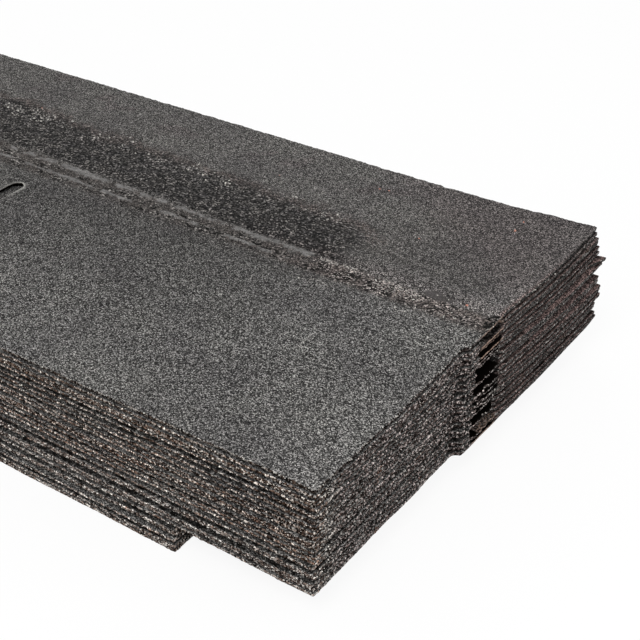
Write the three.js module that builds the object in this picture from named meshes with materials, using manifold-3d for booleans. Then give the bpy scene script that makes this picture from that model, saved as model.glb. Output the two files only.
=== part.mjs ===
// A loose stack of three-tab asphalt strip shingles, granules up, butt edges to the front (-Y).
// Millimetres, +Z up.  The origin is at the middle of the stack's underside.
//
// Every shingle is one sheet: three tabs divided by two slots, a half slot at each end, and
// behind the slots a bare lane with two rows of sealant beads.  The beads hold the sheets apart
// along that lane, so each sheet rises over it a little more than the sheet below, and the tabs
// and the headlap come down to the edges on either side.

import * as THREE from 'three';
import { mergeVertices } from 'three/addons/utils/BufferGeometryUtils.js';
import Module from 'manifold-3d';

// ---------------------------------------------------------------- driving dimensions

// strip
const stripLength = 1000;
const stripDepth = 317;
const sheetThickness = 2.7;
const tabCount = 3;
const slotWidth = 9;
const slotLength = 142;
const endSlotHalf = 3.5;
const slotEndSegments = 5;

// bare lane for the sealant, which starts this far behind the slots
const laneBehindSlots = 13;
const laneWidth = 27;
const laneRecess = 1;
const laneSlope = 1;

// sealant beads: a broken front row and one long bead behind it
const beadInset = 9.5;
const beadSpacing = 12.5;
const beadWidth = 6.5;
const beadSlope = 1;
const beadProud = 0.5;
const beadRoot = 0.4;
const beadMargin = 75;
const dashCount = 4;
const dashGap = 30;

// stack
const upperCount = 21;
const lowerCount = 5;
const lowerInset = 87.5;
const snugGap = 0.35;
const groupGap = 0.45;

// crest over the lane, and how much of a sheet lies level along its two long edges
const crestRise = 7.2;
const crestMargin = 5.5;
const levelFront = 40;
const levelBack = 12;

// share of the crest's rise at evenly spaced folds, from the level part up and down again;
// past the beads the front flank hangs lower, down to its shares at the right end
const frontFlank = [0, 0.45, 0.9, 1];
const frontFlankEnd = [0, 0, 0.35, 1];
const backFlank = [1, 0.45, 0.18, 0];

// how far the sheets of a loose stack wander: in mm, in degrees, and in shade of grey
const buttWander = 0.9;
const sideWander = 0.4;
const turnWander = 0.04;
const shadeWander = 0.12;

// which repeatable draw each of these takes
const buttDraw = 56;
const sideDraw = 1;
const turnDraw = 3;
const shadeDraw = 5;

// extra air under each sheet at its butt edge, from the bottom sheet up, on top of snugGap
const buttAir = [
  0, 0.1, 0.9, 0.1, 0.2,
  0, 0, 0.1, 0.9, 0, 0.7, 0.1, 0, 1.0, 0, 0, 0, 0, 0.4, 0, 0.4, 0.7, 0, 0, 0, 0,
];

// air under each sheet at the crest of its right end, where the beads stop, bottom sheet up
const endAir = [
  0, 0.5, 0.6, 0.5, 0.6,
  1.6, 0.7, 1.3, 1.3, 1.2, 1.3, 0.5, 0.5, 0.5, 0.5, 1.2, 1.2, 0.9, 1.3, 1.4, 0.6, 0.7, 0.7, 0.6, 0.8, 1,
];

// how far a right end reaches past the strip's length: just behind the slot, and at the back
// corner of each sheet, bottom sheet up
const slotReach = 0.8;
const endReach = [
  0.5, 1.5, 0, 1, -0.5,
  2.6, 4.2, 3.8, 2.7, 3, 3.6, 4.8, 4.3, 4.9, 2, 3.1, -0.2, 1.5, 3.2, -0.5, 0, -0.5, -1, -0.8, -2.9, -3.2,
];

// how deep the brittle bare lane has broken out of each right end, bottom sheet up
const laneBreak = [
  0, 0, 6, 0, 0,
  0, 0, 12, 0, 14, 0, 0, 0, 0, 0, 13, 0, 9, 15, 0, 0, 0, 6, 0, 12, 0,
];
const laneBreakSlope = 3;

// one sheet, counted from the bottom, whose back right corner is torn to a point
const tornSheet = 20;
const tornReach = 5.2;
const tornLength = 16;

// one sheet whose slots were cut further to the right
const shiftedSheet = 25;
const slotShift = 4.5;

// the back right corner of the upper sheets curls up, past the beads and from this far back
const cornerLift = 3.6;
const cornerFrom = 200;

// cuts run this far past the sheet's edges, and a bend closer than this to an end is left out
const cutAllowance = 20;
const leastBay = 1;

// ---------------------------------------------------------------- values that follow

const sheetCount = lowerCount + upperCount;
const halfLength = stripLength / 2;
const halfDepth = stripDepth / 2;
const tabPitch = stripLength / tabCount;
const laneStart = slotLength + laneBehindSlots;
const laneEnd = laneStart + laneWidth;
const crestFront = laneStart - crestMargin;
const crestBack = laneEnd + crestMargin;
const beadHalfLength = halfLength - beadMargin;
const dashPitch = (2 * beadHalfLength + dashGap) / dashCount;
const degrees = Math.PI / 180;

const wasm = await Module();
wasm.setup();

// ---------------------------------------------------------------- helpers

// A repeatable number between -1 and 1 for sheet i.
function wander(i, draw) {
  const s = Math.sin(i * 12.9898 + draw * 78.233) * 43758.5453;
  return 2 * (s - Math.floor(s)) - 1;
}

function toSolid(geometry) {
  const bare = geometry.clone();
  bare.deleteAttribute('normal');
  bare.deleteAttribute('uv');
  const merged = mergeVertices(bare, 1e-4);
  return new wasm.Manifold(new wasm.Mesh({
    numProp: 3,
    vertProperties: new Float32Array(merged.attributes.position.array),
    triVerts: new Uint32Array(merged.index.array),
  }));
}

function toGeometry(solid) {
  const mesh = solid.getMesh();
  const geometry = new THREE.BufferGeometry();
  geometry.setAttribute('position', new THREE.BufferAttribute(mesh.vertProperties, 3));
  geometry.setIndex(new THREE.BufferAttribute(mesh.triVerts, 1));
  geometry.computeVertexNormals();
  return geometry;
}

// ---------------------------------------------------------------- how the sheets lie

// Height of the underside of every sheet along one line, from the air below each sheet.
function levels(airBelow) {
  const heights = [];
  let z = 0;
  for (let i = 0; i < sheetCount; i += 1) {
    if (i > 0) {
      z += sheetThickness + airBelow(i);
    }
    heights.push(z);
  }
  return heights;
}

const gapBetweenGroups = (i) => (i === lowerCount ? groupGap : 0);
const buttLevel = levels((i) => snugGap + buttAir[i % buttAir.length] + gapBetweenGroups(i));
const topLevel = buttLevel[sheetCount - 1];
const evenAir = topLevel / (sheetCount - 1) - sheetThickness;
const crestAir = crestRise / (sheetCount - 1);
const backLevel = levels(() => evenAir);
const crestLevel = levels(() => evenAir + crestAir);
const rightLevel = levels((i) => endAir[i % endAir.length]);

// Folds of the sheets: the distance from the butt edge, and the share of the crest's rise over
// the beads and at the right end.
function flank(from, to, shares, sharesAtEnd) {
  const last = shares.length - 1;
  return shares.map((share, k) => ({
    fromButt: THREE.MathUtils.lerp(from, to, k / last),
    share,
    shareAtEnd: sharesAtEnd[k],
  }));
}

const folds = [
  ...flank(levelFront, crestFront, frontFlank, frontFlankEnd),
  ...flank(crestBack, stripDepth - levelBack, backFlank, backFlank),
];

// How far a place lies past the beads on the right: 0 where they stop, 1 at the end.
const pastBeads = (x) => Math.max(0, x - beadHalfLength) / beadMargin;

function crestShare(x, fromButt) {
  const next = folds.findIndex((fold) => fold.fromButt > fromButt);
  if (next < 1) {
    return 0;
  }
  const [before, after] = [folds[next - 1], folds[next]];
  const past = pastBeads(x);
  const low = THREE.MathUtils.lerp(before.share, before.shareAtEnd, past);
  const high = THREE.MathUtils.lerp(after.share, after.shareAtEnd, past);
  return THREE.MathUtils.mapLinear(fromButt, before.fromButt, after.fromButt, low, high);
}

// How much the back right corner has curled up at a place.
function curl(x, fromButt) {
  const back = Math.max(0, fromButt - cornerFrom) / (stripDepth - cornerFrom);
  return cornerLift * pastBeads(x) * back * back;
}

// Height of the underside of sheet i at a place in the stack.
function sheetHeight(i, x, y) {
  const fromButt = y + halfDepth;
  const edgeLevel = fromButt < crestFront ? buttLevel[i] : backLevel[i] + curl(x, fromButt);
  const topOfCrest = THREE.MathUtils.lerp(crestLevel[i], rightLevel[i], pastBeads(x));
  return THREE.MathUtils.lerp(edgeLevel, topOfCrest, crestShare(x, fromButt));
}

// ---------------------------------------------------------------- one shingle

function placeOf(i) {
  const inset = i < lowerCount ? lowerInset : 0;
  return {
    x: sideWander * wander(i, sideDraw) - inset,
    y: buttWander * wander(i, buttDraw),
    turn: turnWander * wander(i, turnDraw) * degrees,
  };
}

// Section of flat sheet i: y across the strip, height up from the underside.  The folds lie on
// the same lines of the stack for every sheet, wherever the sheet has wandered to.
function sheetSection(i) {
  const top = sheetThickness;
  const floor = top - laneRecess;
  const own = folds.map((fold) => fold.fromButt - placeOf(i).y);
  const ahead = [0, ...own.filter((place) => place < laneStart)];
  const behind = [...own.filter((place) => place > laneEnd), stripDepth];
  const outline = [...ahead, ...behind].map((u) => [u, 0]);
  outline.push(...[...behind].reverse().map((u) => [u, top]));
  outline.push([laneEnd, top], [laneEnd - laneSlope, floor]);
  outline.push([laneStart + laneSlope, floor], [laneStart, top]);
  outline.push(...[...ahead].reverse().map((u) => [u, top]));
  return new THREE.Shape(outline.map(([u, v]) => new THREE.Vector2(u - halfDepth, v)));
}

// Section of a bead whose foot is bedded in the lane.
function beadSection(fromButt) {
  const middle = fromButt - halfDepth;
  const foot = beadWidth / 2;
  const crown = foot - beadSlope;
  const low = sheetThickness - laneRecess - beadRoot;
  const high = sheetThickness + beadProud;
  const outline = [[-foot, low], [foot, low], [crown, high], [-crown, high]];
  return new THREE.Shape(outline.map(([y, v]) => new THREE.Vector2(middle + y, v)));
}

// An extruded sheet's quads are halved the one way on top and the other way underneath.  This
// turns those on top, so that bent sheets follow each other.
function matchDiagonals(geometry) {
  const { start, count } = geometry.groups[1];
  const position = geometry.attributes.position;
  const verticesPerQuad = 6;
  const copy = (from, to) => {
    position.setXYZ(to, position.getX(from), position.getY(from), position.getZ(from));
  };
  for (let k = start; k < start + count; k += verticesPerQuad) {
    if (position.getY(k) > 0 && position.getY(k + 1) > 0) {
      copy(k + 4, k + 2);
      copy(k, k + 3);
    }
  }
}

// A flat section drawn along sheet i from one place to another, and bent over the sheets below.
function layOver(i, section, from, to) {
  const bend = beadHalfLength - placeOf(i).x;
  const stops = bend > from + leastBay && bend < to - leastBay ? [from, bend, to] : [from, to];
  const bays = stops.length - 1;
  const geometry = new THREE.ExtrudeGeometry(section, { depth: bays, steps: bays, bevelEnabled: false });
  matchDiagonals(geometry);
  const place = placeOf(i);
  const position = geometry.attributes.position;
  for (let k = 0; k < position.count; k += 1) {
    const flatX = stops[Math.round(position.getZ(k))];
    const flatY = position.getX(k);
    const x = place.x + flatX * Math.cos(place.turn) - flatY * Math.sin(place.turn);
    const y = place.y + flatX * Math.sin(place.turn) + flatY * Math.cos(place.turn);
    position.setXYZ(k, x, y, position.getY(k) + sheetHeight(i, x, y));
  }
  return toSolid(geometry);
}

function beads(i) {
  const front = laneStart + beadInset;
  const made = [layOver(i, beadSection(front + beadSpacing), -beadHalfLength, beadHalfLength)];
  for (let n = 0; n < dashCount; n += 1) {
    const from = -beadHalfLength + n * dashPitch;
    made.push(layOver(i, beadSection(front), from, from + dashPitch - dashGap));
  }
  return made;
}

// An upright cutter through the whole stack, from a plan drawn on sheet i.
function cutter(i, plan, curveSegments = 1) {
  const height = 2 * (topLevel + crestRise + sheetThickness + beadProud);
  const geometry = new THREE.ExtrudeGeometry(plan, { depth: height, bevelEnabled: false, curveSegments });
  const place = placeOf(i);
  geometry.rotateZ(place.turn);
  geometry.translate(place.x, place.y, -height / 4);
  return toSolid(geometry);
}

// Plan of a slot that opens at the butt edge and ends in a half round.
function slotPlan(middleX, width) {
  const radius = width / 2;
  const plan = new THREE.Shape();
  const mouth = -halfDepth - cutAllowance;
  const bend = -halfDepth + slotLength - radius;
  plan.moveTo(middleX - radius, mouth);
  plan.lineTo(middleX + radius, mouth);
  plan.lineTo(middleX + radius, bend);
  plan.absarc(middleX, bend, radius, 0, Math.PI, false);
  plan.lineTo(middleX - radius, mouth);
  return plan;
}

// The strips were cut apart through a slot, so half of one is left at each end.
function slotPlans(i) {
  const shift = i + 1 === shiftedSheet ? slotShift : 0;
  const plans = [slotPlan(-halfLength, 2 * endSlotHalf), slotPlan(halfLength, 2 * endSlotHalf)];
  for (let n = 1; n < tabCount; n += 1) {
    plans.push(slotPlan(-halfLength + n * tabPitch + shift, slotWidth));
  }
  return plans;
}

// The right end of sheet i, as [distance from the butt edge, reach past the strip's length].
// It runs straight from its slot to its back corner, unless it is broken or torn.
function endLine(i) {
  const reach = endReach[i % endReach.length];
  const reachAt = (fromButt) => (
    THREE.MathUtils.mapLinear(fromButt, slotLength, stripDepth, slotReach, reach)
  );
  const broken = laneBreak[i % laneBreak.length];
  const line = [[-cutAllowance, slotReach], [slotLength, slotReach]];
  if (broken > 0) {
    line.push([laneStart, reachAt(laneStart)]);
    line.push([laneStart + laneBreakSlope, reachAt(laneStart) - broken]);
    line.push([laneEnd - laneBreakSlope, reachAt(laneEnd) - broken]);
    line.push([laneEnd, reachAt(laneEnd)]);
  }
  if (i + 1 === tornSheet) {
    const tearStart = stripDepth - tornLength;
    line.push([tearStart, reachAt(tearStart)], [stripDepth, tornReach]);
  } else {
    line.push([stripDepth, reachAt(stripDepth)]);
  }
  return line;
}

// Plan of what is cut away past the right end of sheet i.
function rightWaste(i) {
  const line = endLine(i);
  const far = halfLength + 2 * cutAllowance;
  const points = line.map(([fromButt, reach]) => [halfLength + reach, fromButt - halfDepth]);
  points.push([points[points.length - 1][0], halfDepth + cutAllowance]);
  points.push([far, halfDepth + cutAllowance], [far, -halfDepth - cutAllowance]);
  return new THREE.Shape(points.map(([x, y]) => new THREE.Vector2(x, y)));
}

// Plan of what is cut away past the left end, which is square.
function leftWaste() {
  const near = -halfLength;
  const far = -halfLength - 2 * cutAllowance;
  const side = halfDepth + cutAllowance;
  const points = [[near, -side], [near, side], [far, side], [far, -side]];
  return new THREE.Shape(points.map(([x, y]) => new THREE.Vector2(x, y)));
}

function shingle(i) {
  const overLength = halfLength + cutAllowance;
  let solid = layOver(i, sheetSection(i), -overLength, overLength);
  solid = solid.subtract(cutter(i, rightWaste(i))).subtract(cutter(i, leftWaste()));
  for (const plan of slotPlans(i)) {
    solid = solid.subtract(cutter(i, plan, slotEndSegments));
  }
  for (const bead of beads(i)) {
    solid = solid.add(bead);
  }
  return toGeometry(solid);
}

// ---------------------------------------------------------------- the stack

const group = new THREE.Group();
const asphaltGrey = new THREE.Color(0x585654);

for (let i = 0; i < sheetCount; i += 1) {
  const material = new THREE.MeshStandardMaterial({
    color: asphaltGrey.clone().multiplyScalar(1 + shadeWander * wander(i, shadeDraw)),
    roughness: 0.95,
    metalness: 0,
  });
  const mesh = new THREE.Mesh(shingle(i), material);
  mesh.name = `shingle_${String(i + 1).padStart(2, '0')}`;
  group.add(mesh);
}

// The origin goes to the middle of the underside of the stack's own box.
const box = new THREE.Box3().setFromObject(group);
const middle = box.getCenter(new THREE.Vector3());
for (const mesh of group.children) {
  mesh.geometry.translate(-middle.x, -middle.y, -box.min.z);
}

export default group;
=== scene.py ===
"""A loose stack of three-tab asphalt shingles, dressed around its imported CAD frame.

Every CAD sheet is replaced by a finely meshed one that follows its outline and bend, with a broken
cut edge, a granular face where the sheet shows, and a plain back.  The top sheet carries smeared
sealant and proud granules, and felt sticks out of two broken lanes at the right end.
Metres; x runs along the strips, y from the butt edges to the back, z up.
"""

import math
from functools import partialmethod

import bpy
import numpy as np
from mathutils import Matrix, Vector, geometry
from mathutils.bvhtree import BVHTree


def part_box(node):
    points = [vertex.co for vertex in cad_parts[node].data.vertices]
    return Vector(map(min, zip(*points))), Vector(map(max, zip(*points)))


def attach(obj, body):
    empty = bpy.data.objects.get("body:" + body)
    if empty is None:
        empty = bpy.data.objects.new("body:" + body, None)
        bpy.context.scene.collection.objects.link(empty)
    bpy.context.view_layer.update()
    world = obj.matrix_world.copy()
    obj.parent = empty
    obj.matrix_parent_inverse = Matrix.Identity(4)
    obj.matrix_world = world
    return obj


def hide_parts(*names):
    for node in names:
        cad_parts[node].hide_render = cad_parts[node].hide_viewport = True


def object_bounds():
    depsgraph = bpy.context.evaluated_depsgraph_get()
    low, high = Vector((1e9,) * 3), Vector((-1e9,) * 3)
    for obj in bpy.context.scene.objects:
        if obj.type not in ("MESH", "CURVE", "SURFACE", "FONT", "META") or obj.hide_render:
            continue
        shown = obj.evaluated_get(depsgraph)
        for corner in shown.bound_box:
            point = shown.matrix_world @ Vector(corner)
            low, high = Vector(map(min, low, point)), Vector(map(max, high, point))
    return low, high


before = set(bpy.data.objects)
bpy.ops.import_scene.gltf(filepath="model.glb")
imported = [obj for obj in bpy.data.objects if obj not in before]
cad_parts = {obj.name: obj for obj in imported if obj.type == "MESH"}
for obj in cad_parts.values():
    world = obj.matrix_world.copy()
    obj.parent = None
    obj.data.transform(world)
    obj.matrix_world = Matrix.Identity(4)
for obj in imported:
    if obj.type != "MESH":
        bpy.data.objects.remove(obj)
cad_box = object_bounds()

MM = 0.001


def mm(*lengths):
    return tuple(length * MM for length in lengths)


def cad_name(index):
    return f"shingle_{index:02d}"


# ---------- driving values

SHEET_COUNT = 26
LOWER_COUNT = 5
TOP_SHEET = cad_name(SHEET_COUNT)
LEDGE_SHEET = cad_name(LOWER_COUNT)
COVER_SHEET = cad_name(LOWER_COUNT + 1)

# the strip, as the CAD has it
SHEET_THICKNESS = 2.7 * MM
LANE_START = 155 * MM
LANE_END = 182 * MM
LANE_RECESS = 1 * MM
LANE_EDGE_SOFTNESS = 1.5 * MM
LANE_WANDER = 1.5 * MM
FACING_DOWN = -0.3
WELD = 0.001 * MM
CORNER_TURN = 0.1

# how finely the sheets are meshed
SHOWN_EDGE_STEP, FAR_EDGE_STEP, SLOT_EDGE_STEP = mm(1.1, 2.8, 4)
FACE_STEP = mm(2.4, 2.4)
LANE_STEP = mm(1.2, 1.2)
LANE_MARGIN, LEDGE_MARGIN = mm(5, 6)
FACE_SHAKE = 0.3
HIDDEN_STEP = mm(40, 10)
HEIGHT_COLUMNS = 31
HEIGHT_STEP = 2 * MM
HEIGHT_SMOOTHING = 9 * MM
HEIGHT_MARGIN = mm(12, 1)

# how close to a sheet's side a place counts as part of it
EDGE_BAND, SHOWN_END_BAND, END_BAND = mm(10, 25, 30)
BUTT_BAND, BACK_BAND, LEVEL_BAND = mm(4, 6, 5)
SLOT_BUTT, SLOT_BACK, SLOT_LEFT = mm(3, 60, 20)

# relief
EDGE_DRAW_IN = 0.45 * MM
ARRIS_WIDTH = 1.5 * MM
EDGE_ROUGHNESS = 0.45 * MM
RING_ROUGHNESS = 0.12 * MM
LEAST_UNDERCUT = 0.35 * MM
UNDERCUT_PER_AIR = 1.3
END_UNDERCUT_SHARE = 0.4
END_ROUGHNESS = (1.5, 0.8)
OVERHANG_ROUGHNESS = 0.45
BACK_RAGGEDNESS = 1.5 * MM
FACE_DRAW_IN = 0.3 * MM
GRANULE_RELIEF = 0.12 * MM
CORNER_ROUNDING = 1.8 * MM

# the lane at the right end, where it has crumbled, broken away or lost its granules
# how far behind the end a break's painted shade sets in and is full
BREAK_SHADE = mm(5, 10)
LANE_CRUMBLE = 2.6 * MM
CRUMBLE_FRONT = mm(128, 138)
CRUMBLE_BACK = mm(192, 184)
BARE_LANES = (6, 22, 23, 24, 25, 26)
BARE_LANE_RECESS = 0.65
BARE_BREAK_SHADE = 0.4
TOP_BARENESS = 0.7
COVERED_LANE_RECESS = 0.25

# the sheets whose broken lane still has its felt sticking out
FELT_SHEETS = (8, 23)
FELT_RUN = mm(158.5, 180)
FELT_LEVELS = mm(0.60, 1.10)
FELT_ROOT = 14 * MM
FELT_TIP = mm(0.7, 1.4)
FELT_ROWS = (0.0, 0.7, 0.97, 1.0)
FELT_SAG = 0.25 * MM
FELT_BARENESS = 0.8
FELT_TIP_LEVEL = 0.5

# how dark the painted shade line between two sheets is: with the least air, and how much more air
# darkens it; how much it comes and goes at the butt and at the end; and its least darkness at the end
SNUG_AIR = 0.35 * MM
LINE_SHADE = (0.36, 1.1 / MM)
BUTT_LINE = (0.45, 0.55)
END_LINE = (0.2, 1.6)
END_LINE_SHARE = 0.55
LINE_CHANCE = (0.1, 1.9)
REAR_START = 150 * MM
REAR_UNDER_SHADE = 0.68
END_UNDER_SHADE = 0.35

# shades on single sheets: the top one's edge, at its front and its rear; the painted highlight along
# the ledge sheet's butt; and the painted highlight on the arris of the top sheet's slots
TOP_EDGE_SHADE = (-1.2, 1.7)
LEDGE_HIGHLIGHT_SPAN = mm(400, 520)
LEDGE_HIGHLIGHT_STRENGTH = (1.6, 0.9)
SLOT_ROUND = mm(122, 134)
STRAIGHT_RIM_HIGHLIGHT = 0.3
RIM_HIGHLIGHT_BY_SIDE = (0.92, 0.55)
RIM_HIGHLIGHT_BEHIND_ARRIS = 0.35

# noise along and over the sheets: size in mm, and a seed, to which most add the sheet's number
NOISES = {
    "wave": (14, 0), "lane": (9, 3), "top rear": (8, 33), "ledge_highlight": (20, 44), "undercut": (30, 50),
    "crumble": (2.6, 90), "butt line": (9, 120), "back": (2.8, 141), "back waves": (11, 142),
    "end line": (26, 160), "felt": (2.6, 400),
}
SHEET_SEED = 1000
SHADE_SEED = 5
FACE_SEED, LEDGE_SEED, LANE_SEED = 7, 8, 9

# lamps: name, place in metres, width in metres, power in watts
LAMPS = [
    ("key", (0.8, -1.6, 2.1), 1.4, 44),
    ("side", (2.2, 0.0, 1.2), 1.4, 12),
    ("back_fill", (-1.2, 1.8, 1.6), 1.6, 14),
]
WORLD_LIGHT = 0.5
FLOOR_GREY = 0.9
FLOOR_WHITENESS = 0.9
FLOOR_SIZE = 30.0
FLOOR_DROP = 0.2 * MM

# camera, from the stack's frame
CAMERA_PLACE = mm(793.65, -558.46, 474.96)
CAMERA_YAW = 0.6325
CAMERA_PITCH = 0.5587
CAMERA_LENS = {"sensor_width": 36.0, "lens": 73.85, "shift_x": 0.1064, "clip_start": 50 * MM}


# ---------- repeatable noise

def lattice(ix, iy, seed):
    """A repeatable number from 0 to 1 for each whole-numbered place."""
    s = np.sin(ix * 12.9898 + iy * 78.233 + seed * 37.719) * 43758.5453
    return s - np.floor(s)


def between(read, ix, iy, fx, fy):
    """What is read at whole-numbered places, blended for the places between them."""
    low = read(ix, iy) * (1 - fx) + read(ix + 1, iy) * fx
    high = read(ix, iy + 1) * (1 - fx) + read(ix + 1, iy + 1) * fx
    return low * (1 - fy) + high * fy


def soft_noise(x, y, size, seed):
    """Smooth noise from 0 to 1, with features of about the given size."""
    gx, gy = x / size, y / size
    ix, iy = np.floor(gx), np.floor(gy)
    fx, fy = gx - ix, gy - iy
    fx, fy = fx * fx * (3 - 2 * fx), fy * fy * (3 - 2 * fy)
    return between(lambda nx, ny: lattice(nx, ny, seed), ix, iy, fx, fy)


def noise(kind, x, y=0, index=0):
    """The same of a named kind, over the plan or along a line."""
    size, seed = NOISES[kind]
    return soft_noise(x, x * 0 + y, size * MM, seed + index)


def smooth_step(low, high, value):
    t = np.clip((value - low) / (high - low), 0, 1)
    return t * t * (3 - 2 * t)


# ---------- reading a CAD sheet

def cad_mesh(node):
    """Corners and triangles of a CAD node, with doubled corners joined."""
    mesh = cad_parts[node].data
    mesh.calc_loop_triangles()
    corners = np.array([corner.co[:] for corner in mesh.vertices])
    triangles = np.array([triangle.vertices[:] for triangle in mesh.loop_triangles])
    keys = np.round(corners / WELD).astype(int)
    _, first, joined = np.unique(keys, axis=0, return_index=True, return_inverse=True)
    return corners[first], joined.reshape(-1)[triangles]


def rim(corners, triangles):
    """The closed line round a sheet's underside, anticlockwise from above, starting at the front
    left corner.  The slots open at the butt edge, so one line goes round all of it."""
    a, b, c = (corners[part] for part in triangles.T)
    normals = np.cross(b - a, c - a)
    tilt = normals[:, 2] / np.maximum(np.linalg.norm(normals, axis=1), 1e-15)
    face = triangles[tilt < FACING_DOWN]
    edges = {(int(t[k]), int(t[(k + 1) % 3])) for t in face for k in range(3)}
    back = {end: start for start, end in edges if (end, start) not in edges}
    start = min(back, key=lambda v: corners[v][0] + corners[v][1])
    line = [start]
    while back[line[-1]] != start:
        line.append(back[line[-1]])
    return corners[line]


def along(line):
    """Distance along a closed line in plan at each of its points, and its whole length."""
    steps = np.linalg.norm(np.roll(line[:, :2], -1, axis=0) - line[:, :2], axis=1)
    return np.concatenate([[0], np.cumsum(steps)[:-1]]), steps.sum()


def finely(line, step_at):
    """Places along a closed line: all its plan corners, and between them even steps of the size
    that step_at gives for the middle of each stretch."""
    ahead = np.roll(line[:, :2], -1, axis=0) - line[:, :2]
    turn = np.arctan2(ahead[:, 1], ahead[:, 0])
    bend = np.abs((turn - np.roll(turn, 1) + math.pi) % (2 * math.pi) - math.pi)
    place, total = along(line)
    corners = np.concatenate([place[(bend > CORNER_TURN) | (place == 0)], [total]])
    fine = []
    for low, high in zip(corners[:-1], corners[1:]):
        middle = [read_line(line, (low + high) / 2, column) for column in (0, 1)]
        count = max(1, round((high - low) / step_at(*middle)))
        fine.append(np.linspace(low, high, count, endpoint=False))
    return np.concatenate(fine)


def read_line(line, places, column):
    place, total = along(line)
    reading = np.append(line[:, column], line[0, column])
    return np.interp(places % total, np.append(place, total), reading)


def rounded(line, places, reach):
    """The line's plan at some places, with its corners rounded off."""
    columns = []
    for column in (0, 1):
        behind, here, ahead = (read_line(line, places + shift, column) for shift in (-reach, 0, reach))
        columns.append((behind + 2 * here + ahead) / 4)
    return np.stack(columns, axis=1)


class Surface:
    """The smooth height of a CAD sheet's underside, away from slots and edges."""

    def __init__(self, node, corners, triangles):
        low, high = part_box(node)
        tree = BVHTree.FromPolygons(corners.tolist(), triangles.tolist())
        self.x = np.linspace(low.x + HEIGHT_MARGIN[0], high.x - HEIGHT_MARGIN[0], HEIGHT_COLUMNS)
        self.y = np.arange(low.y + HEIGHT_MARGIN[1], high.y - HEIGHT_MARGIN[1], HEIGHT_STEP)
        heights = np.full((len(self.x), len(self.y)), np.nan)
        for i, x in enumerate(self.x):
            for j, y in enumerate(self.y):
                hit = tree.ray_cast((x, y, low.z - 1), (0, 0, 1))[0]
                if hit is not None:
                    heights[i, j] = hit.z
        for j in range(len(self.y)):
            good = ~np.isnan(heights[:, j])
            heights[:, j] = np.interp(self.x, self.x[good], heights[good, j])
        reach = int(3 * HEIGHT_SMOOTHING / HEIGHT_STEP)
        offsets = np.arange(-reach, reach + 1) * HEIGHT_STEP
        weights = np.exp(-0.5 * (offsets / HEIGHT_SMOOTHING) ** 2)
        weights /= weights.sum()
        padded = np.pad(heights, ((0, 0), (reach, reach)), mode="edge")
        self.z = sum(w * padded[:, k:k + len(self.y)] for k, w in enumerate(weights))

    def height(self, x, y):
        i = np.clip(np.interp(x, self.x, np.arange(len(self.x))), 0, len(self.x) - 1.001)
        j = np.clip(np.interp(y, self.y, np.arange(len(self.y))), 0, len(self.y) - 1.001)
        i0, j0 = i.astype(int), j.astype(int)
        return between(lambda j, i: self.z[i, j], j0, i0, j - j0, i - i0)


# ---------- material graphs

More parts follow.
